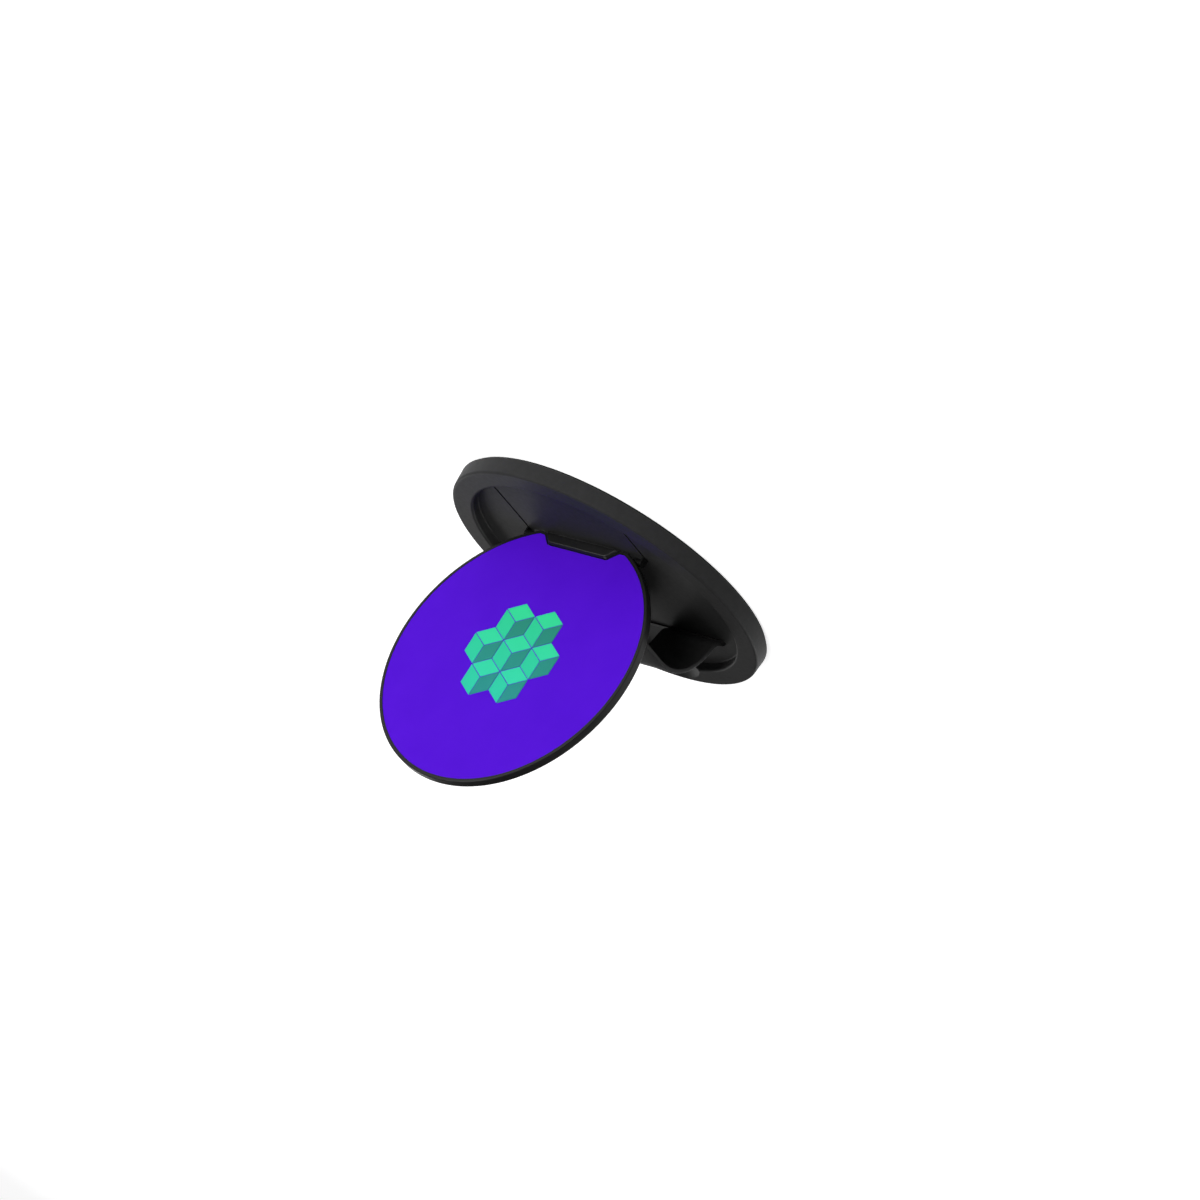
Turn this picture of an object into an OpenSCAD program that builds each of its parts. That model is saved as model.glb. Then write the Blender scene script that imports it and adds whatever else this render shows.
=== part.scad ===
// Magnetic phone grip: a round magnetic base with a round disc that folds flat into it.
// The disc stands on its hinge pin and a flexible strap behind it makes a finger loop.
// The base lies on z = 0, which is the face that meets the phone. X runs along the hinge
// pin, and the printed face of the standing disc looks along +Y.

/* [Disc] */
// Diameter of the disc
disc_d = 48.3; // [46:0.1:50]
// Thickness of the disc at its rim
disc_t = 1.6; // [1.6:0.05:1.8]
// Width of the rim that shows round the printed plate
rim_w = 0.6; // [0.4:0.05:0.9]
// Thickness of the printed plate
plate_t = 0.35; // [0.3:0.05:0.4]
// Thickness of the adhesive under the printed plate
plate_glue_t = 0.1; // [0.08:0.01:0.12]
// Thickness of the steel plate inside the disc
steel_t = 0.4; // [0.3:0.05:0.45]
// Thickness of the printed ink fields
ink_t = 0.05; // [0.04:0.01:0.06]
// Length of one edge of a printed block
block_edge = 3.6; // [3:0.1:4]
// Width of the line left between the printed faces
block_line = 0.14; // [0.08:0.02:0.2]
// Radius of the round on the disc's front rim
front_round = 0.18; // [0.1:0.02:0.22]
// Radius of the round on the disc's back rim
back_round = 0.4; // [0.3:0.02:0.44]

/* [Hinge] */
// Distance of the hinge pin from the disc's round edge
pin_inset = 2.75; // [2.5:0.05:3]
// Depth of the hinge pin below the disc's front face
pin_depth = 1; // [0.95:0.01:1.05]
// Diameter of the hinge pin
pin_d = 0.7; // [0.6:0.02:0.76]
// Running clearance round the hinge pin, in radius
pin_gap = 0.05; // [0.03:0.01:0.07]
// Radius of the disc's hinge barrel
barrel_r = 0.7; // [0.66:0.01:0.72]
// Distance of the hinge pin from the middle of the base when the disc stands
open_y = 7.54; // [7:0.1:9]
// Straight edge of the disc, beyond the pin
chord_y = 0.65; // [0.55:0.05:0.7]
// Where the straight edge steps in, behind the hinge barrel
step_y = 0.15; // [0.1:0.05:0.25]
// Radius of the ears that carry the pin
ear_r = 0.65; // [0.6:0.01:0.68]
// Thickness of the ears
ear_t = 0.35; // [0.3:0.05:0.45]
// Length of each friction washer on the pin
washer_w = 1.4; // [1.2:0.05:1.45]
// Outer diameter of each friction washer
washer_d = 1.3; // [1.2:0.02:1.34]
// Clearance in the disc round the ears and the washers
swing_gap = 0.25; // [0.18:0.01:0.28]
// Clearance of the pin in the ears
pin_fit = 0.01; // [0.01:0.005:0.02]
// Thickness of the sliding plate
slide_t = 0.3; // [0.25:0.01:0.35]
// Length of the sliding plate behind the pin
slide_back = 3.2; // [2.6:0.1:4]
// Width of the sliding plate's cross rails
slide_rail = 1; // [0.8:0.05:1.2]
// Width of the sliding plate beside its opening
slide_side = 2; // [1.5:0.1:3]
// Running gap above and below the sliding plate
slide_gap = 0.02; // [0.01:0.01:0.04]

/* [Hinge cover] */
// Width of the hinge cover along the disc's straight edge
cover_w = 16.4; // [15:0.2:18]
// Width of the hinge cover at its inner edge
cover_in_w = 12.9; // [11:0.1:14]
// Reach of the hinge cover inward from the pin
cover_reach = 1.4; // [1.3:0.05:2.2]
// How far the hinge cover stands proud of the disc's face
cover_proud = 0.5; // [0.3:0.05:0.6]
// Width of the bevel round the hinge cover
cover_bevel = 0.25; // [0.15:0.05:0.4]
// Gap between the hinge cover and the printed plate
cover_gap = 0.12; // [0.08:0.01:0.2]
// Radius of the corners of the hinge cover and of its notch in the plate
corner_r = 1; // [0.6:0.1:1.2]
// Width of the black edge between the printed plate and the straight edge
edge_band = 0.5; // [0.4:0.05:0.6]

/* [Base] */
// Gap round the folded disc
disc_gap = 0.3; // [0.25:0.01:0.4]
// Gap under the folded disc at the edge of the dished floor
under_gap = 0.21; // [0.16:0.01:0.3]
// Depth of the dish in the floor
dish = 0.2; // [0.1:0.01:0.25]
// Thickness of the floor at its middle
floor_wall = 0.3; // [0.25:0.01:0.4]
// Wall between the recess and the magnet groove
recess_wall = 1.6; // [1.5:0.05:1.9]
// Wall outside the magnet groove
outer_wall = 0.75; // [0.6:0.05:1]
// Wall over the magnet groove
face_wall = 0.5; // [0.4:0.05:0.7]
// How far the side of the base leans in over its height
draft = 0.15; // [0:0.05:0.3]
// Bevel at the foot of the base's side
foot_bevel = 0.15; // [0.05:0.05:0.3]
// Radius of the round on the front edge of the base
edge_round = 0.45; // [0.3:0.05:0.55]
// Radius of the round on the lip of the recess
lip_round = 0.4; // [0.2:0.05:0.45]
// Radius of the fillet where the floor meets the wall of the recess
floor_fillet = 0.25; // [0.15:0.05:0.28]
// Half width of the finger scoop at the front face
scoop_r = 6.6; // [5:0.1:7]
// Depth of the finger scoop at its deepest point
scoop_depth = 1.7; // [1.2:0.1:1.9]
// Land left outside the finger scoop
scoop_land = 1; // [0.8:0.1:1.6]
// Thickness of the contact pad
pad_t = 0.3; // [0.2:0.05:0.4]
// How far the contact pad stays inside the edge of the base
pad_inset = 0.4; // [0.3:0.05:0.5]
// Thickness of the back cover
back_t = 0.25; // [0.2:0.05:0.35]
// Thickness of the adhesive ring over the back cover
glue_t = 0.1; // [0.08:0.01:0.12]
// Width of the ledge that the back cover fits into, outside the magnets
ledge_w = 0.25; // [0.2:0.05:0.35]
// Angle of solid housing on each side of the finger scoop, in degrees
bridge_margin = 1; // [0.5:0.5:3]

/* [Magnets] */
// Radial width of the ring magnets
magnet_w = 1.6; // [1.4:0.05:1.8]
// Number of ring magnets
magnet_n = 18; // [12:1:24]
// Gap between neighbouring magnets
magnet_split = 0.4; // [0.2:0.05:0.8]
// Thickness of the steel yoke ring over the magnets
yoke_t = 0.3; // [0.2:0.05:0.4]

/* [Strap] */
// Width of the strap
strap_w = 32; // [28:0.5:33]
// Thickness of the strap
strap_t = 0.7; // [0.6:0.02:0.76]
// Distance of the strap's root behind the middle of the base
root_back = 14.8; // [14:0.1:15.6]
// Height of the strap's level part above the contact face
strap_z = 12.3; // [11.4:0.1:12.8]
// Width of the window between the strap's two legs
window_w = 8.6; // [6:0.2:10]
// Height of the window's lower end above the rim of the floor
window_start = 0.1; // [0.05:0.05:1]
// Distance that the strap leans forward in the bend at its root
root_lean = 1.85; // [1.2:0.05:2.2]
// Height of the bend at the strap's root
root_rise = 2.4; // [2:0.1:3]
// Distance from the strap's root to its level part
bend_run = 10.4; // [9:0.1:11.5]
// Half length of the strap's foot and head, which hold it in its slots
tee_half = 1.5; // [1.2:0.1:1.8]
// Thickness of the strap's foot and head
tee_t = 0.3; // [0.2:0.02:0.32]
// Clearance round the strap in its slots
strap_gap = 0.1; // [0.06:0.01:0.15]
// Depth of the channel for the strap in the back of the disc
channel_depth = 0.45; // [0.35:0.01:0.48]
// How far the channel runs on past the strap's root when the disc is folded
channel_over = 2; // [1:0.1:2.5]

/* [Fits] */
// Clearance between pieces that are fitted together
fit = 0.05; // [0.03:0.01:0.08]

/* [Hidden] */
$fn = 128;
cut = 1;
// Disc, in its own flat frame: the pin axis is the origin and the front face looks up
disc_r = disc_d / 2;
centre_y = -(disc_r - pin_inset);
face_z = pin_depth;
back_z = pin_depth - disc_t;
print_r = disc_r - rim_w;
plate_z = face_z - ink_t - plate_t;
seat_z = plate_z - plate_glue_t;
steel_z = seat_z - steel_t;
steel_edge_y = -(barrel_r + edge_band);
print_edge_y = chord_y - edge_band;
knuckle_half = sqrt(disc_r * disc_r - centre_y * centre_y) - fit;
relief_r = max(ear_r, washer_d / 2) + swing_gap;
// Base, from the contact face up
inner_z = pad_t + back_t + glue_t;
slide_z = inner_z + slide_gap;
pocket_z = slide_z + slide_t + slide_gap;
floor_z = pocket_z + floor_wall;
floor_edge_z = floor_z + dish;
base_h = floor_edge_z + under_gap + disc_t;
recess_r = disc_r + disc_gap;
ring_in = recess_r + recess_wall;
ring_out = ring_in + magnet_w + 2 * fit;
base_r = ring_out + outer_wall;
ledge_r = ring_out + ledge_w;
groove_z = base_h - face_wall;
scoop_y = -(base_r - scoop_land - scoop_r);
// The groove, the magnets and the yoke leave out the stretch under the finger scoop
scoop_reach = sqrt(max(0, pow(scoop_r, 2) - pow(ring_in + scoop_y, 2)));
bridge_angle = 2 * asin(scoop_reach / ring_in) + 2 * bridge_margin;
// Hinge pin in the base's frame
pin_z = base_h - pin_depth;
pin_r = pin_d / 2;
closed_y = -centre_y;
ear_in = knuckle_half + washer_w + fit;
ear_out = ear_in + ear_t;
// Strap
root_y = -root_back;
head_y = -(strap_z - pin_z);
root_bend = [root_y + root_lean, floor_edge_z + root_rise];
// Pull of the strap's curves at the ends of its bends
root_pull = [0, 0.7];
bend_pull = [0.28, 1.92];
bend_share = 1.95;
level_pull = [6, 0];

function arc(cx, cy, r, a0, a1, n = 6) =
    [for (i = [0 : n]) let (a = a0 + (a1 - a0) * i / n) [cx + r * cos(a), cy + r * sin(a)]];

function unit(v) = v / norm(v);

// A corner of an outline, rounded to radius r: the points of the arc from side to side
function corner(before, at, after, r, n = 6) =
    let (
        u = unit(before - at),
        w = unit(after - at),
        half = acos(max(-1, min(1, u * w))) / 2,
        middle = at + unit(u + w) * r / sin(half),
        first = at + u * r / tan(half) - middle,
        last = at + w * r / tan(half) - middle
    )
    [for (i = [0 : n]) middle + r * unit(first * (n - i) / n + last * i / n)];

function bezier(a, b, c, d, t) =
    a * pow(1 - t, 3) + 3 * b * t * pow(1 - t, 2) + 3 * c * t * t * (1 - t) + d * pow(t, 3);

// Puts the flat disc frame in place, standing on its pin
module standing() {
    translate([0, open_y, pin_z]) rotate([-90, 0, 0]) children();
}

// A bar along X with the outline given in the Y-Z plane
module along_x(x0, x1) {
    translate([x0, 0, 0]) rotate([90, 0, 90]) linear_extrude(x1 - x0) children();
}

module both_sides() {
    children();
    mirror([1, 0, 0]) children();
}

// Base

module contact_pad() {
    color("#141414") cylinder(r = base_r - pad_inset, h = pad_t);
}

module back_cover() {
    color("#1c1c1e") translate([0, 0, pad_t]) cylinder(r = ledge_r - fit, h = back_t);
}

module cover_adhesive() {
    color("#d8d2c0") translate([0, 0, pad_t + back_t]) difference() {
        cylinder(r = ledge_r - fit, h = glue_t);
        translate([0, 0, -cut]) cylinder(r = ring_in - fit, h = glue_t + 2 * cut);
    }
}

module housing_profile() {
    top_r = base_r - draft;
    fillet_z = floor_edge_z + floor_fillet;
    polygon(concat(
        [for (i = [0 : 8]) let (s = i / 8) [(recess_r - floor_fillet) * s, floor_z + dish * s * s]],
        arc(recess_r - floor_fillet, fillet_z, floor_fillet, -90, 0),
        arc(recess_r + lip_round, base_h - lip_round, lip_round, 180, 90),
        arc(top_r - edge_round, base_h - edge_round, edge_round, 90, 0),
        [
            [base_r, pad_t + foot_bevel], [base_r - foot_bevel, pad_t],
            [ledge_r, pad_t], [ledge_r, inner_z],
            [ring_out, inner_z], [ring_out, groove_z],
            [ring_in, groove_z], [ring_in, inner_z], [0, inner_z]
        ]
    ));
}

// Pocket under the floor for the sliding plate, and the two slots that its ears run in
module slide_pocket() {
    play = 2 * fit;
    back_y = open_y - slide_back - play;
    front_y = closed_y + ear_r + play;
    translate([-ear_out - play, back_y, inner_z - cut])
        cube([2 * (ear_out + play), front_y - back_y, pocket_z - inner_z + cut]);
    both_sides()
        translate([ear_in - fit, open_y - ear_r - fit, inner_z - cut])
            cube([ear_t + 2 * fit, closed_y - open_y + 2 * (ear_r + fit),
                pin_z + ear_r + fit - inner_z + cut]);
}

// Pockets in the recess's wall for the ends of the pin when the disc is folded
module pin_pockets() {
    high = ear_r + fit;
    both_sides()
        translate([knuckle_half, closed_y - 2 * ear_r, pin_z - high])
            cube([ear_out + fit - knuckle_half, 3 * ear_r + fit, 2 * high]);
}

// Slot for the strap's root, with the pocket for its foot
module root_slot() {
    translate([-strap_w / 2 - strap_gap, root_y - strap_t / 2 - strap_gap, inner_z - cut])
        cube([strap_w + 2 * strap_gap, strap_t + 2 * strap_gap, base_h]);
    translate([-strap_w / 2 - strap_gap, root_y - tee_half - strap_gap, inner_z - cut])
        cube([strap_w + 2 * strap_gap, 2 * (tee_half + strap_gap), pocket_z - inner_z + cut]);
}

module finger_scoop() {
    ball_r = (scoop_r * scoop_r + scoop_depth * scoop_depth) / (2 * scoop_depth);
    translate([0, scoop_y, base_h - scoop_depth + ball_r]) sphere(r = ball_r);
}

// Solid stretch of the housing under the finger scoop, across the magnet groove
module scoop_bridge() {
    rotate([0, 0, -90 - bridge_angle / 2]) rotate_extrude(angle = bridge_angle)
        translate([ring_in - fit, inner_z]) square([magnet_w + 4 * fit, groove_z - inner_z + fit]);
}

module base_housing() {
    color("#202022") difference() {
        union() {
            rotate_extrude() housing_profile();
            scoop_bridge();
        }
        slide_pocket();
        pin_pockets();
        root_slot();
        finger_scoop();
    }
}

module ring_magnets() {
    step = (360 - bridge_angle) / magnet_n;
    split = magnet_split / ring_in * 180 / PI;
    color("#b9bcc0") for (i = [0 : magnet_n - 1])
        rotate([0, 0, i * step + (bridge_angle + split) / 2 - 90])
            rotate_extrude(angle = step - split)
                translate([ring_in + fit, inner_z]) square([magnet_w, groove_z - yoke_t - inner_z]);
}

module magnet_yoke() {
    end_gap = fit / ring_in * 180 / PI;
    color("#8c8f93") rotate([0, 0, bridge_angle / 2 + end_gap - 90])
        rotate_extrude(angle = 360 - bridge_angle - 2 * end_gap)
            translate([ring_in + fit, groove_z - yoke_t]) square([magnet_w, yoke_t]);
}

// Strap

// Middle line of the strap in the Y-Z plane: up through its slot, forward in a small bend,
// up and over in a large one, and level to the disc
function strap_line() =
    let (
        foot = [root_y, inner_z + strap_gap],
        root = [root_y, floor_edge_z],
        level = [root_y + bend_run, strap_z],
        small = bezier_points(root, root + root_pull, root_bend - bend_pull, root_bend, 8),
        large = bezier_points(root_bend, root_bend + bend_share * bend_pull,
            level - level_pull, level, 14)
    )
    concat([foot], small, [for (i = [1 : len(large) - 1]) large[i]],
        [[open_y + steel_z - strap_gap, strap_z]]);

function bezier_points(a, b, c, d, n) = [for (i = [0 : n]) bezier(a, b, c, d, i / n)];

// The line moved sideways, to make one face of the strap
function shifted(line, by) = [
    for (i = [0 : len(line) - 1])
        let (
            ahead = line[min(i + 1, len(line) - 1)],
            behind = line[max(i - 1, 0)],
            way = unit(ahead - behind)
        )
        line[i] + by * [-way[1], way[0]]
];

module strap() {
    line = strap_line();
    over = shifted(line, strap_t / 2);
    under = shifted(line, -strap_t / 2);
    head_end_y = open_y + steel_z - strap_gap;
    color("#1a1a1b") difference() {
        union() {
            along_x(-strap_w / 2, strap_w / 2)
                polygon(concat(over, [for (i = [len(under) - 1 : -1 : 0]) under[i]]));
            translate([-strap_w / 2, root_y - tee_half, inner_z])
                cube([strap_w, 2 * tee_half, tee_t]);
            translate([-strap_w / 2, head_end_y - tee_t, strap_z - tee_half])
                cube([strap_w, tee_t, 2 * tee_half]);
        }
        // Window between the two legs, with a round end on the level part
        translate([-window_w / 2, root_y - cut, floor_edge_z + window_start])
            cube([window_w, bend_run + cut, strap_z]);
        translate([0, root_y + bend_run, strap_z - cut])
            cylinder(r = window_w / 2, h = 2 * cut);
    }
}

// Sliding carriage with the hinge pin

module ear() {
    along_x(ear_in, ear_out) difference() {
        union() {
            translate([open_y, pin_z]) circle(r = ear_r, $fn = 48);
            translate([open_y - ear_r, slide_z]) square([2 * ear_r, pin_z - slide_z]);
        }
        translate([open_y, pin_z]) circle(r = pin_r + pin_fit, $fn = 48);
    }
}

module slide_carriage() {
    opening_w = 2 * (ear_in - slide_side);
    opening_l = slide_back - 2 * slide_rail;
    color("#26272a") union() {
        difference() {
            translate([-ear_out, open_y - slide_back, slide_z])
                cube([2 * ear_out, slide_back + ear_r, slide_t]);
            translate([-opening_w / 2, open_y - slide_back + slide_rail, slide_z - cut])
                cube([opening_w, opening_l, slide_t + 2 * cut]);
        }
        both_sides() ear();
    }
}

module pivot_pin() {
    color("#1e1f21") translate([-ear_out, open_y, pin_z]) rotate([0, 90, 0])
        cylinder(r = pin_r, h = 2 * ear_out, $fn = 48);
}

module pin_washers() {
    gap = fit / 2;
    color("#0c0c0c") both_sides()
        along_x(knuckle_half + gap, ear_in - gap) translate([open_y, pin_z]) difference() {
            circle(d = washer_d, $fn = 48);
            circle(r = pin_r + 2 * pin_fit, $fn = 48);
        }
}

// Disc

module frame_profile() {
    polygon(concat(
        [[0, back_z]],
        arc(disc_r - back_round, back_z + back_round, back_round, -90, 0),
        arc(disc_r - front_round, face_z - front_round, front_round, 0, 90),
        [[0, face_z]]
    ));
}

// Outline of the hinge cover, grown by a gap, out to outer_y along its slanting sides
module cover_outline(grow = 0, outer_y = chord_y) {
    y1 = -cover_reach - grow;
    w1 = cover_in_w / 2 + grow;
    w0 = w1 + (cover_w - cover_in_w) / 2 * (outer_y - y1) / (chord_y + cover_reach);
    polygon(concat(
        [[-w0, outer_y]],
        corner([-w0, outer_y], [-w1, y1], [w1, y1], corner_r),
        corner([-w1, y1], [w1, y1], [w0, outer_y], corner_r),
        [[w0, outer_y]]
    ));
}

// What the straight edge and the hinge cover take out of the printed plate
module plate_cut(grow) {
    far = 2 * disc_r;
    w0 = cover_w / 2 + cover_gap - grow;
    w1 = cover_in_w / 2 + cover_gap - grow;
    y0 = print_edge_y + grow;
    y1 = -cover_reach - cover_gap + grow;
    polygon(concat(
        [[-far, far], [-far, y0]],
        corner([-far, y0], [-w0, y0], [-w1, y1], corner_r),
        corner([-w0, y0], [-w1, y1], [w1, y1], corner_r),
        corner([-w1, y1], [w1, y1], [w0, y0], corner_r),
        corner([w1, y1], [w0, y0], [far, y0], corner_r),
        [[far, y0], [far, far]]
    ));
}

module plate_solid(z, h, grow = 0) {
    difference() {
        translate([0, centre_y, z]) cylinder(r = print_r - fit + grow, h = h);
        translate([0, 0, z - cut]) linear_extrude(h + 2 * cut) plate_cut(grow);
    }
}

module steel_solid(z, h, grow = 0) {
    intersection() {
        translate([0, centre_y, z]) cylinder(r = print_r - rim_w + grow, h = h);
        translate([-disc_r, steel_edge_y + grow - 2 * disc_r, z]) cube([2 * disc_r, 2 * disc_r, h]);
    }
}

// Slot for the strap's head, the pocket for its tee, and the channel it folds into
module strap_seat() {
    half_w = strap_w / 2 + strap_gap;
    translate([-half_w, head_y - strap_t / 2 - strap_gap, back_z - cut])
        cube([2 * half_w, strap_t + 2 * strap_gap, disc_t]);
    translate([-half_w, head_y - tee_half - strap_gap, steel_z - tee_t - 2 * strap_gap])
        cube([2 * half_w, 2 * (tee_half + strap_gap), disc_t]);
    translate([-half_w, root_y - closed_y - channel_over, back_z - cut])
        cube([2 * half_w, head_y - (root_y - closed_y) + channel_over, channel_depth + cut]);
}

module disc_frame() {
    color("#1b1b1c") standing() difference() {
        union() {
            difference() {
                translate([0, centre_y, 0]) rotate_extrude() frame_profile();
                translate([-disc_r, chord_y, -disc_t]) cube([2 * disc_r, disc_r, 2 * disc_t + cut]);
                // Room for the round hinge barrel at the back of the straight edge
                translate([-disc_r, step_y, -disc_t]) cube([2 * disc_r, disc_r, disc_t]);
                both_sides() along_x(knuckle_half, disc_r) circle(r = relief_r, $fn = 48);
            }
            // The barrel's ends follow the disc's round edge
            intersection() {
                along_x(-knuckle_half, knuckle_half) circle(r = barrel_r, $fn = 64);
                translate([0, centre_y, -disc_t]) cylinder(r = disc_r, h = 2 * disc_t);
            }
        }
        along_x(-disc_r, disc_r) circle(r = pin_r + pin_gap, $fn = 48);
        plate_solid(seat_z, disc_t, fit);
        steel_solid(steel_z, disc_t, fit);
        translate([0, 0, seat_z]) linear_extrude(disc_t) cover_outline(fit, chord_y + cut);
        strap_seat();
    }
}

module steel_plate() {
    color("#85888c") standing() steel_solid(steel_z, steel_t);
}

module print_adhesive() {
    color("#cfc9b8") standing() plate_solid(seat_z, plate_glue_t);
}

module print_plate() {
    color("#5212d0") standing() plate_solid(plate_z, plate_t);
}

// One face of a drawn block: a rhombus between the middle and three corners of a hexagon
module block_face(from_angle) {
    shrink = 1 - block_line / (block_edge * sin(60));
    a = block_edge * [cos(from_angle), sin(from_angle)];
    b = block_edge * [cos(from_angle + 60), sin(from_angle + 60)];
    c = block_edge * [cos(from_angle + 120), sin(from_angle + 120)];
    mid = b / 2;
    polygon([for (p = [[0, 0], a, b, c]) mid + shrink * (p - mid)]);
}

// Seven tumbling blocks round the middle of the plate, one kind of face at a time
module blocks(from_angle) {
    pitch = sqrt(3) * block_edge;
    standing() translate([0, centre_y, face_z - ink_t]) linear_extrude(ink_t) {
        block_face(from_angle);
        for (i = [0 : 5])
            translate(pitch * [cos(60 * i), sin(60 * i)]) block_face(from_angle);
    }
}

module print_blocks_light() {
    color("#62e8b8") blocks(30);
}

module print_blocks_mid() {
    color("#4bdccd") blocks(150);
}

module print_blocks_dark() {
    color("#2d9693") blocks(270);
}

module hinge_cover() {
    color("#1f1f20") standing() hull() {
        translate([0, 0, seat_z]) linear_extrude(face_z - seat_z) cover_outline();
        translate([0, 0, seat_z]) linear_extrude(face_z - seat_z + cover_proud)
            cover_outline(-cover_bevel, chord_y - cover_bevel);
    }
}

contact_pad();
back_cover();
cover_adhesive();
base_housing();
ring_magnets();
magnet_yoke();
strap();
slide_carriage();
pivot_pin();
pin_washers();
disc_frame();
steel_plate();
print_adhesive();
print_plate();
print_blocks_light();
print_blocks_mid();
print_blocks_dark();
hinge_cover();
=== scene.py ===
"""Finishes for the magnetic grip: its strap and hinge cover, surfaces, light and camera."""
import bpy
import math
from mathutils import Matrix, Vector


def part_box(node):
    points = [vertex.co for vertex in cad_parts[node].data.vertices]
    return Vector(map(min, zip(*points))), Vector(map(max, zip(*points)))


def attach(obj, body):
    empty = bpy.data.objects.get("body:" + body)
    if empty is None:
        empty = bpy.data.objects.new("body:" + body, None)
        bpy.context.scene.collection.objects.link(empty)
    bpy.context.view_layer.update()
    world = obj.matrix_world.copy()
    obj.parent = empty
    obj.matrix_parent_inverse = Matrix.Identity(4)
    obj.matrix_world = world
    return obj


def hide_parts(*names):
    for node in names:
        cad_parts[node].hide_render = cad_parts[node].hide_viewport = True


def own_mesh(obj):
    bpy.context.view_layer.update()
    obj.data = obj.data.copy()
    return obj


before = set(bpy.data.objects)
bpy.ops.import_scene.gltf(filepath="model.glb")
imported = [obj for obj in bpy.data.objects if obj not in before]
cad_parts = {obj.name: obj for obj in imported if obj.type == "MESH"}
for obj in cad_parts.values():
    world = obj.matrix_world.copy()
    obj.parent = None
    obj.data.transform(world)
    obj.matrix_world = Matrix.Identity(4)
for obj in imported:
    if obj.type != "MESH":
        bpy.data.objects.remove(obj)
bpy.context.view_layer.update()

MM = 0.001
# Points nearer than this count as one
TINY = 0.01 * MM
scene = bpy.context.scene

# Places read from the frame
STRAP_LOW, STRAP_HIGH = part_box("strap")
STRAP_HALF = STRAP_HIGH.x
DISC_LOW, DISC_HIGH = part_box("disc_frame")
DISC_MIDDLE_Z = DISC_HIGH.z - (DISC_HIGH.x - DISC_LOW.x) / 2

# Camera of the photograph, in the part's frame
CAMERA_AT = Vector((0.5694, 0.5728, 0.2730))
CAMERA_RIGHT = Vector((0.7175, -0.4738, -0.5106))
CAMERA_UP = Vector((-0.1958, 0.5662, -0.8007))
LENS_MM = 159.9
SENSOR_MM = 36.0


# Small helpers

# A place to sort from that has no two points of a piece at one distance
SORT_FROM = Vector((0.0523, -0.0731, 0.0317))


def deselect():
    """Nothing stays selected, so the next operator acts on what it is given."""
    if bpy.context.mode != "OBJECT":
        bpy.ops.object.mode_set(mode="OBJECT")
    bpy.ops.object.select_all(action="DESELECT")


def activate(obj):
    deselect()
    obj.select_set(True)
    bpy.context.view_layer.objects.active = obj


def settle(obj):
    """The object's place goes into its mesh, and its faces point outwards."""
    activate(obj)
    bpy.ops.object.transform_apply(location=True, rotation=True, scale=True)
    bpy.ops.object.mode_set(mode="EDIT")
    bpy.ops.mesh.select_all(action="SELECT")
    bpy.ops.mesh.remove_doubles(threshold=TINY)
    bpy.ops.mesh.normals_make_consistent(inside=False)
    bpy.ops.object.mode_set(mode="OBJECT")


def pick(obj, wanted):
    """Selects the vertices whose place is wanted, and goes to edit mode with them."""
    bpy.ops.object.mode_set(mode="EDIT")
    bpy.ops.mesh.select_all(action="DESELECT")
    bpy.ops.object.mode_set(mode="OBJECT")
    for vertex in obj.data.vertices:
        vertex.select = wanted(vertex.co)
    bpy.ops.object.mode_set(mode="EDIT")


def line_up(obj):
    """A boolean leaves its points and faces in another order each run, so they are sorted."""
    activate(obj)
    scene.cursor.location = SORT_FROM
    bpy.ops.object.mode_set(mode="EDIT")
    bpy.ops.mesh.select_all(action="SELECT")
    bpy.ops.mesh.sort_elements(type="CURSOR_DISTANCE", elements={"VERT", "EDGE", "FACE"})
    bpy.ops.object.mode_set(mode="OBJECT")


def apply_modifier(obj, kind, **values):
    activate(obj)
    modifier = obj.modifiers.new(kind.title(), kind)
    for key, value in values.items():
        setattr(modifier, key, value)
    bpy.ops.object.modifier_apply(modifier=modifier.name)


def round_edges(obj, width, segments, angle):
    apply_modifier(obj, "BEVEL", width=width, segments=segments, limit_method="ANGLE",
                   angle_limit=math.radians(angle))


def smooth(obj, angle):
    activate(obj)
    bpy.ops.object.shade_smooth_by_angle(angle=math.radians(angle))


# Materials

# Sockets of the colour Mix node: its factor, its two colours and its result
MIX_FACTOR, MIX_FIRST, MIX_SECOND, MIX_RESULT = 0, 6, 7, 2

# Fac of a noise stays mostly within these values
NOISE_LOW, NOISE_HIGH = 0.3, 0.7

# Half the height of the printed design, over which its inks run
INK_HALF = 9 * MM


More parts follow.
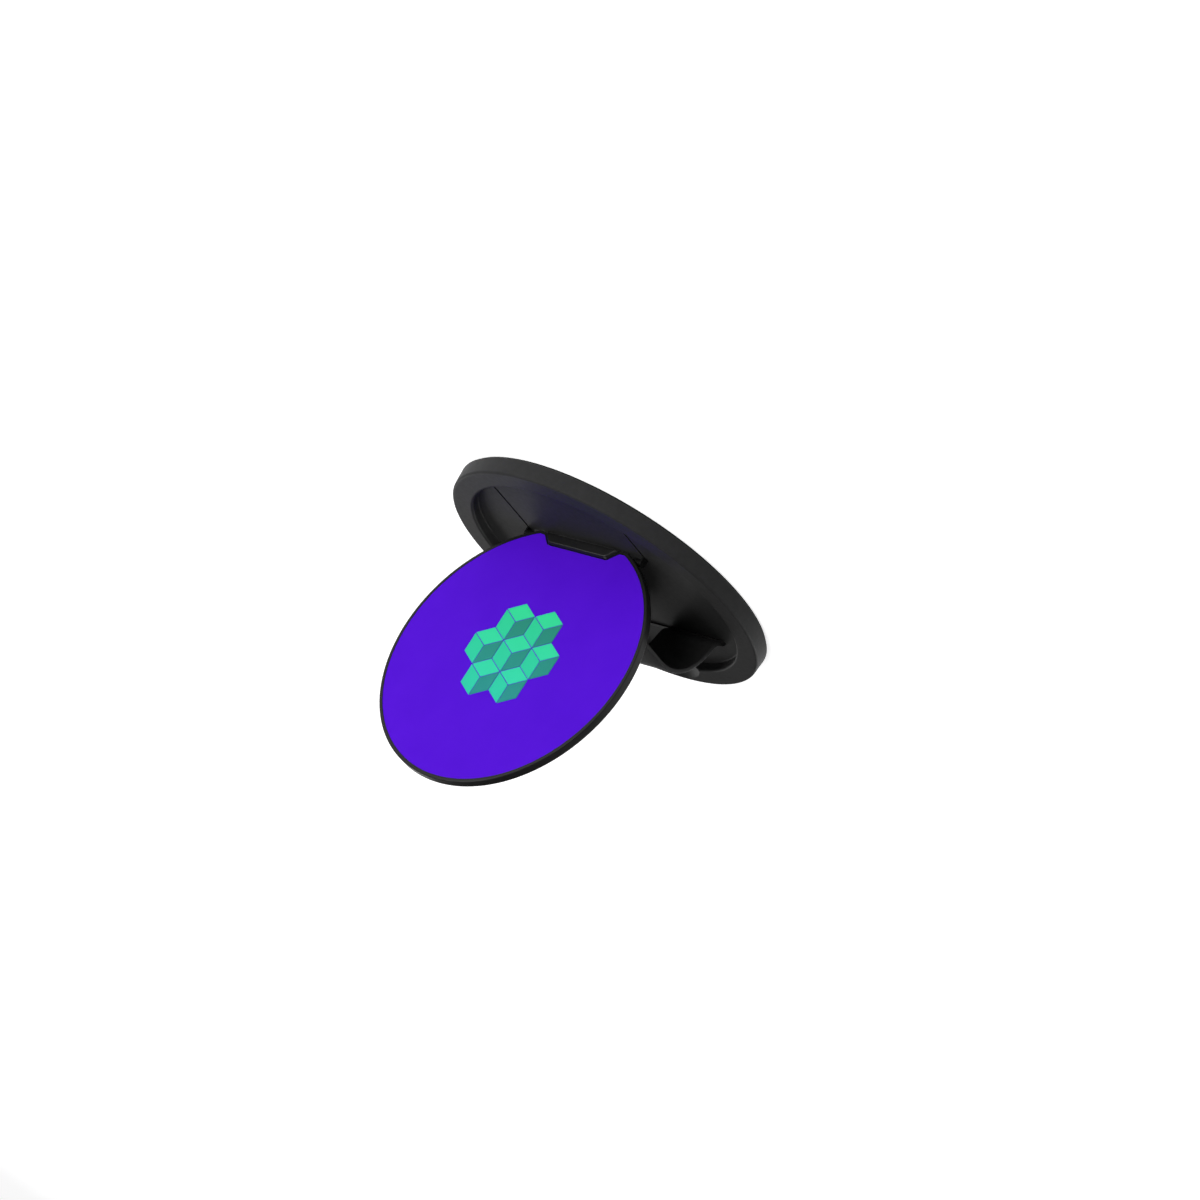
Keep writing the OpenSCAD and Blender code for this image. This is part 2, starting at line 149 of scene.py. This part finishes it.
class Finish:
    """A node material on the Principled shader, with patterns in the part's own coordinates."""

    def __init__(self, name, **sockets):
        self.material = bpy.data.materials.new(name)
        self.material.use_nodes = True
        self.nodes = self.material.node_tree.nodes
        self.links = self.material.node_tree.links
        self.shader = self.nodes["Principled BSDF"]
        self.place = self.nodes.new("ShaderNodeTexCoord").outputs["Object"]
        for key, value in sockets.items():
            self.shader.inputs[key.replace("_", " ")].default_value = value

    def noise(self, scale, detail, stretch=(1, 1, 1)):
        mapping = self.nodes.new("ShaderNodeMapping")
        mapping.inputs["Scale"].default_value = stretch
        self.links.new(self.place, mapping.inputs["Vector"])
        noise = self.nodes.new("ShaderNodeTexNoise")
        noise.inputs["Scale"].default_value = scale
        noise.inputs["Detail"].default_value = detail
        self.links.new(mapping.outputs["Vector"], noise.inputs["Vector"])
        return noise.outputs["Fac"]

    def remap(self, value, from_low, from_high, low=0, high=1):
        remap = self.nodes.new("ShaderNodeMapRange")
        remap.inputs["From Min"].default_value = from_low
        remap.inputs["From Max"].default_value = from_high
        remap.inputs["To Min"].default_value = low
        remap.inputs["To Max"].default_value = high
        self.links.new(value, remap.inputs["Value"])
        return remap.outputs["Result"]

    def colour(self, share, first, second):
        """Base colour that goes from the first to the second colour as the share grows."""
        mix = self.nodes.new("ShaderNodeMix")
        mix.data_type = "RGBA"
        mix.inputs[MIX_FIRST].default_value = (*first, 1)
        mix.inputs[MIX_SECOND].default_value = (*second, 1)
        self.links.new(share, mix.inputs[MIX_FACTOR])
        self.links.new(mix.outputs[MIX_RESULT], self.shader.inputs["Base Color"])

    def shade(self, noise, dark, light):
        """Base colour between two colours, by a noise."""
        self.colour(self.remap(noise, NOISE_LOW, NOISE_HIGH), dark, light)

    def grey(self, noise, grey, under, over):
        """Base colour round a grey, down to a share under it and up to a share over it."""
        self.shade(noise, (grey * under,) * 3, (grey * over,) * 3)

    def roughness(self, noise, low, high):
        rough = self.remap(noise, NOISE_LOW, NOISE_HIGH, low, high)
        self.links.new(rough, self.shader.inputs["Roughness"])

    def bump(self, height, depth):
        bump = self.nodes.new("ShaderNodeBump")
        bump.inputs["Distance"].default_value = depth
        self.links.new(height, bump.inputs["Height"])
        self.links.new(bump.outputs["Normal"], self.shader.inputs["Normal"])


def satin_black(name, grey, rough, grain=2600, gloss=0.05, depth=0.003 * MM):
    """Fine-textured black: anodised or powder-coated metal, or moulded plastic."""
    finish = Finish(name, Specular_IOR_Level=gloss)
    finish.grey(finish.noise(900, 3), grey, 0.94, 1.06)
    finish.roughness(finish.noise(1500, 3), rough - 0.03, rough + 0.03)
    finish.bump(finish.noise(grain, 2), depth)
    return finish.material


def bare_steel(name, grey, rough, stretch):
    """Plain or plated steel, with its grain drawn out along one direction."""
    finish = Finish(name, Metallic=1.0)
    finish.grey(finish.noise(700, 3, stretch), grey, 0.85, 1.1)
    finish.roughness(finish.noise(1500, 2, stretch), rough - 0.06, rough + 0.08)
    finish.bump(finish.noise(2500, 2, stretch), 0.004 * MM)
    return finish.material


def rubber(name, grey, rough, gloss=0.03):
    """Moulded rubber with a fine matt skin."""
    finish = Finish(name, Specular_IOR_Level=gloss)
    finish.grey(finish.noise(1200, 3), grey, 0.92, 1.08)
    finish.roughness(finish.noise(1800, 2), rough - 0.03, rough + 0.03)
    finish.bump(finish.noise(3500, 3), 0.004 * MM)
    return finish.material


def film(name, colour):
    """Adhesive film."""
    finish = Finish(name)
    finish.shade(finish.noise(500, 2), [part * 0.92 for part in colour], colour)
    finish.roughness(finish.noise(800, 2), 0.5, 0.65)
    finish.bump(finish.noise(3000, 2), 0.004 * MM)
    return finish.material


def print_violet():
    """Flat printed colour with the faint unevenness of a screen print."""
    finish = Finish("print_violet", Specular_IOR_Level=0.03)
    finish.shade(finish.noise(140, 2), (0.078, 0.0045, 0.595), (0.083, 0.0052, 0.615))
    finish.roughness(finish.noise(700, 2), 0.5, 0.6)
    finish.bump(finish.noise(4200, 2), 0.003 * MM)
    return finish.material


def print_ink(name, low_colour, high_colour):
    """Printed ink that runs from one colour at the design's foot to another at its top."""
    finish = Finish(name, Specular_IOR_Level=0.05)
    split = finish.nodes.new("ShaderNodeSeparateXYZ")
    finish.links.new(finish.place, split.inputs["Vector"])
    run = finish.remap(split.outputs["Z"], DISC_MIDDLE_Z - INK_HALF, DISC_MIDDLE_Z + INK_HALF)
    finish.colour(run, low_colour, high_colour)
    finish.roughness(finish.noise(700, 2), 0.45, 0.55)
    finish.bump(finish.noise(4200, 2), 0.003 * MM)
    return finish.material


def dress(node, material):
    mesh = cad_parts[node].data
    mesh.materials.clear()
    mesh.materials.append(material)


strap_rubber = rubber("strap_rubber", 0.026, 0.5, gloss=0.1)
plain_steel = bare_steel("plain_steel", 0.42, 0.35, (1, 6, 6))

FINISHES = {
    "base_housing": satin_black("housing_black", 0.03, 0.5),
    "disc_frame": satin_black("frame_black", 0.009, 0.34, gloss=0.15, depth=0.002 * MM),
    "hinge_cover": satin_black("cover_black", 0.007, 0.33, gloss=0.25, depth=0.002 * MM),
    "contact_pad": rubber("pad_rubber", 0.012, 0.7),
    "back_cover": satin_black("cover_plastic", 0.02, 0.5, grain=1800),
    "strap": strap_rubber,
    "slide_carriage": satin_black("carriage_black", 0.006, 0.5),
    "steel_plate": plain_steel,
    "magnet_yoke": plain_steel,
    "pivot_pin": satin_black("pin_black", 0.006, 0.5),
    "pin_washers": satin_black("washer_black", 0.005, 0.6),
    "ring_magnets": bare_steel("magnet_plating", 0.6, 0.16, (1, 1, 4)),
    "cover_adhesive": film("cover_film", (0.55, 0.52, 0.44)),
    "print_adhesive": film("print_film", (0.5, 0.48, 0.42)),
    "print_plate": print_violet(),
    "print_blocks_light": print_ink("ink_light", (0.035, 0.68, 0.29), (0.035, 0.62, 0.40)),
    "print_blocks_mid": print_ink("ink_mid", (0.028, 0.60, 0.27), (0.028, 0.56, 0.37)),
    "print_blocks_dark": print_ink("ink_dark", (0.022, 0.24, 0.16), (0.024, 0.27, 0.25)),
}
for node_name, finish_made in FINISHES.items():
    dress(node_name, finish_made)


# Strap: two legs from the slot in the floor, over and level to the back of the disc

STRAP_T = 0.7 * MM
# Rounding of its edges, which is limited by the shortest edge beside it
STRAP_EDGE = 0.11 * MM
# Middle line of the strap: out of the floor, over the first bend, level, into the disc
ROOT = Vector((0, -14.8, 1.49)) * MM
ROOT_BEND = Vector((0, -12.95, 3.89)) * MM
LEVEL = Vector((0, -4.4, 12.3)) * MM
HEAD = Vector((0, 7.4, 12.3)) * MM
# How far each point pulls the line its own way
ROOT_PULL = Vector((0, 0, 0.7)) * MM
BEND_PULL = Vector((0, 0.28, 1.92)) * MM
BEND_PULL_AFTER = 1.95
LEVEL_PULL = Vector((0, 6, 0)) * MM
# Window between the legs: half its width, its cutter's height, and its reach past the root
WINDOW_HALF = 4.3 * MM
WINDOW_TALL = 30 * MM
WINDOW_PAST = 3 * MM
# Its lowest point, midway between two rows of the strap, so that no edge there is tiny
WINDOW_FOOT = 1.68 * MM
# Flat heads that hold the strap's two ends, just inside its width
TEE_HALF = 1.5 * MM
TEE_T = 0.3 * MM
TEE_INSET = 0.035 * MM
# First short strip of the strap, which is then pulled along its way
STRIP_TALL = 0.2 * MM
STRIP_COLUMNS = 10
# Steps of the first bend, of the rise after it and of the level run
BEND_STEPS, RISE_STEPS, LEVEL_STEPS = 8, 20, 6


def bend(a, b, c, d, steps):
    """Points of a bend from a to d, without a itself."""
    spots = [i / steps for i in range(1, steps + 1)]
    return [a * (1 - t) ** 3 + b * 3 * t * (1 - t) ** 2 + c * 3 * t * t * (1 - t) + d * t ** 3
            for t in spots]


def strap_route(foot):
    """Points of the strap's middle line, from its foot to its head."""
    route = [foot, ROOT]
    route += bend(ROOT, ROOT + ROOT_PULL, ROOT_BEND - BEND_PULL, ROOT_BEND, BEND_STEPS)
    route += bend(ROOT_BEND, ROOT_BEND + BEND_PULL * BEND_PULL_AFTER, LEVEL - LEVEL_PULL,
                  LEVEL, RISE_STEPS)
    route += [LEVEL.lerp(HEAD, i / LEVEL_STEPS) for i in range(1, LEVEL_STEPS + 1)]
    return route


def make_strap():
    foot = Vector((0, ROOT.y, STRAP_LOW.z + TEE_T))
    route = strap_route(foot)
    deselect()
    bpy.ops.mesh.primitive_grid_add(x_subdivisions=STRIP_COLUMNS, y_subdivisions=1, size=1)
    strap = bpy.context.object
    strap.name = "finger_strap"
    strap.scale = (2 * STRAP_HALF, STRIP_TALL, 1)
    strap.rotation_euler = (math.radians(90), 0, 0)
    strap.location = foot - Vector((0, 0, STRIP_TALL / 2))
    bpy.ops.object.transform_apply(location=True, rotation=True, scale=True)
    pick(strap, lambda place: place.z > foot.z - STRIP_TALL / 4)
    bpy.ops.mesh.select_mode(type="VERT")
    for before, after in zip(route, route[1:]):
        bpy.ops.mesh.extrude_region_move(TRANSFORM_OT_translate={"value": after - before})
    bpy.ops.object.mode_set(mode="OBJECT")
    apply_modifier(strap, "SOLIDIFY", thickness=STRAP_T, offset=0)
    settle(strap)
    cut_window(strap)
    round_edges(strap, STRAP_EDGE, segments=3, angle=50)
    join_tee(strap, (ROOT.y, STRAP_LOW.z + TEE_T / 2), (2 * TEE_HALF, TEE_T))
    join_tee(strap, (STRAP_HIGH.y - TEE_T / 2, HEAD.z), (TEE_T, 2 * TEE_HALF))
    settle(strap)
    smooth(strap, 40)
    strap.data.materials.append(strap_rubber)
    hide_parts("strap")
    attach(strap, "base")
    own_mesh(strap)


def cut_window(strap):
    """A window between the two legs, with a round end where the strap runs level."""
    deselect()
    bpy.ops.mesh.primitive_cylinder_add(vertices=48, radius=WINDOW_HALF, depth=WINDOW_TALL,
                                        location=(0, LEVEL.y, WINDOW_FOOT + WINDOW_TALL / 2))
    cutter = bpy.context.object
    pick(cutter, lambda place: place.y < TINY)
    bpy.ops.transform.translate(value=(0, ROOT.y - LEVEL.y - WINDOW_PAST, 0))
    bpy.ops.object.mode_set(mode="OBJECT")
    bpy.ops.object.transform_apply(location=True, rotation=True, scale=True)
    apply_modifier(strap, "BOOLEAN", object=cutter, operation="DIFFERENCE", solver="EXACT")
    bpy.data.objects.remove(cutter)
    line_up(strap)
    settle(strap)


def join_tee(strap, middle, size):
    """A flat head across the strap's end, which holds it under the floor or in the disc."""
    across = 2 * (STRAP_HALF - TEE_INSET)
    deselect()
    bpy.ops.mesh.primitive_cube_add(size=1, location=(0, *middle), scale=(across, *size))
    tee = bpy.context.object
    apply_modifier(strap, "BOOLEAN", object=tee, operation="UNION", solver="EXACT")
    bpy.data.objects.remove(tee)
    line_up(strap)


make_strap()


# Hinge cover: the solid's own shape with moulded edges, which catch a line of light

COVER_EDGE = 0.13 * MM


def make_cover():
    deselect()
    cover = bpy.data.objects.new("moulded_cover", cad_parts["hinge_cover"].data.copy())
    scene.collection.objects.link(cover)
    settle(cover)
    bpy.ops.object.mode_set(mode="EDIT")
    bpy.ops.mesh.select_all(action="SELECT")
    bpy.ops.mesh.dissolve_limited(angle_limit=math.radians(1))
    bpy.ops.object.mode_set(mode="OBJECT")
    round_edges(cover, COVER_EDGE, segments=4, angle=22)
    settle(cover)
    smooth(cover, 30)
    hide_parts("hinge_cover")
    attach(cover, "disc")


make_cover()


# Camera

def make_camera():
    data = bpy.data.cameras.new("photo_camera")
    camera = bpy.data.objects.new("photo_camera", data)
    scene.collection.objects.link(camera)
    data.lens = LENS_MM
    data.sensor_width = SENSOR_MM
    data.sensor_fit = "HORIZONTAL"
    data.clip_start = 0.05
    data.clip_end = 20
    right = CAMERA_RIGHT.normalized()
    back = right.cross(CAMERA_UP).normalized()
    up = back.cross(right)
    turn = Matrix((right, up, back)).transposed()
    camera.matrix_world = Matrix.Translation(CAMERA_AT) @ turn.to_4x4()
    scene.camera = camera


make_camera()


# Floor, light and background

FLOOR_COLOUR = (0.86, 0.86, 0.87, 1)
FLOOR_SIZE = 6
# A hair under the part, so that the two faces never fight
FLOOR_DROP = 0.02 * MM
# Light that the floor adds where it is seen or mirrored, so that it comes out white
FLOOR_LIFT = 0.73
# Heights on the sky, from 0 at the horizon to 1 overhead, with the light at each
HORIZON_TOP, HORIZON_LIGHT = 0.08, 0.3
CEILING_FOOT, CEILING_LIGHT = 0.28, 0.13

LAMP_AIM = Vector((0, 0, 0.015))
# Name, place, width and power of each soft lamp
LAMPS = [
    ("key_lamp", (-0.357, 0.618, 0.232), 0.3, 2.8),
    ("front_lamp", (0.244, 0.67, 0.232), 0.3, 1.8),
    ("side_lamp", (-0.618, -0.357, 0.232), 0.3, 0.75),
    ("back_lamp", (0.15, -0.72, 0.12), 0.3, 2.2),
    ("top_lamp", (-0.1, 0.1, 0.75), 0.4, 1.2),
    ("right_lamp", (0.72, -0.1, 0.12), 0.3, 0.45),
]


def floor_white():
    """Pale matt floor that keeps shadows and is lifted to white where it is seen."""
    material = bpy.data.materials.new("studio_floor")
    material.use_nodes = True
    nodes, links = material.node_tree.nodes, material.node_tree.links

    def work_out(operation, first, second=None):
        node = nodes.new("ShaderNodeMath")
        node.operation = operation
        links.new(first, node.inputs[0])
        if second:
            links.new(second, node.inputs[1])
        return node

    shader = nodes["Principled BSDF"]
    shader.inputs["Base Color"].default_value = FLOOR_COLOUR
    shader.inputs["Roughness"].default_value = 0.9
    shader.inputs["Specular IOR Level"].default_value = 0.1
    glow = nodes.new("ShaderNodeEmission")
    path = nodes.new("ShaderNodeLightPath").outputs
    seen = work_out("MAXIMUM", path["Is Camera Ray"], path["Is Glossy Ray"]).outputs["Value"]
    seen = work_out("MAXIMUM", seen, path["Is Transmission Ray"]).outputs["Value"]
    lift = work_out("MULTIPLY", seen)
    lift.inputs[1].default_value = FLOOR_LIFT
    links.new(lift.outputs["Value"], glow.inputs["Strength"])
    total = nodes.new("ShaderNodeAddShader")
    links.new(shader.outputs["BSDF"], total.inputs[0])
    links.new(glow.outputs["Emission"], total.inputs[1])
    links.new(total.outputs["Shader"], nodes["Material Output"].inputs["Surface"])
    return material


def make_floor():
    deselect()
    bpy.ops.mesh.primitive_plane_add(size=FLOOR_SIZE, location=(0, 0, -FLOOR_DROP))
    floor = bpy.context.object
    floor.name = "studio_floor"
    floor.data.materials.append(floor_white())


def make_world():
    """A pale horizon under a dimmer ceiling, as in a studio with a curved backdrop."""
    world = bpy.data.worlds.new("studio")
    scene.world = world
    world.use_nodes = True
    nodes, links = world.node_tree.nodes, world.node_tree.links
    direction = nodes.new("ShaderNodeTexCoord").outputs["Generated"]
    split = nodes.new("ShaderNodeSeparateXYZ")
    height = nodes.new("ShaderNodeMapRange")
    height.inputs["From Min"].default_value = HORIZON_TOP
    height.inputs["From Max"].default_value = CEILING_FOOT
    height.inputs["To Min"].default_value = HORIZON_LIGHT
    height.inputs["To Max"].default_value = CEILING_LIGHT
    links.new(direction, split.inputs["Vector"])
    links.new(split.outputs["Z"], height.inputs["Value"])
    links.new(height.outputs["Result"], nodes["Background"].inputs["Strength"])
    nodes["Background"].inputs["Color"].default_value = (1, 1, 1, 1)


def make_lamp(name, place, width, watts):
    data = bpy.data.lights.new(name, "AREA")
    data.shape = "DISK"
    data.size = width
    data.energy = watts
    lamp = bpy.data.objects.new(name, data)
    scene.collection.objects.link(lamp)
    turn = (LAMP_AIM - Vector(place)).to_track_quat("-Z", "Y")
    lamp.matrix_world = Matrix.Translation(place) @ turn.to_matrix().to_4x4()


make_floor()
make_world()
for lamp_values in LAMPS:
    make_lamp(*lamp_values)

scene.view_settings.view_transform = "Standard"
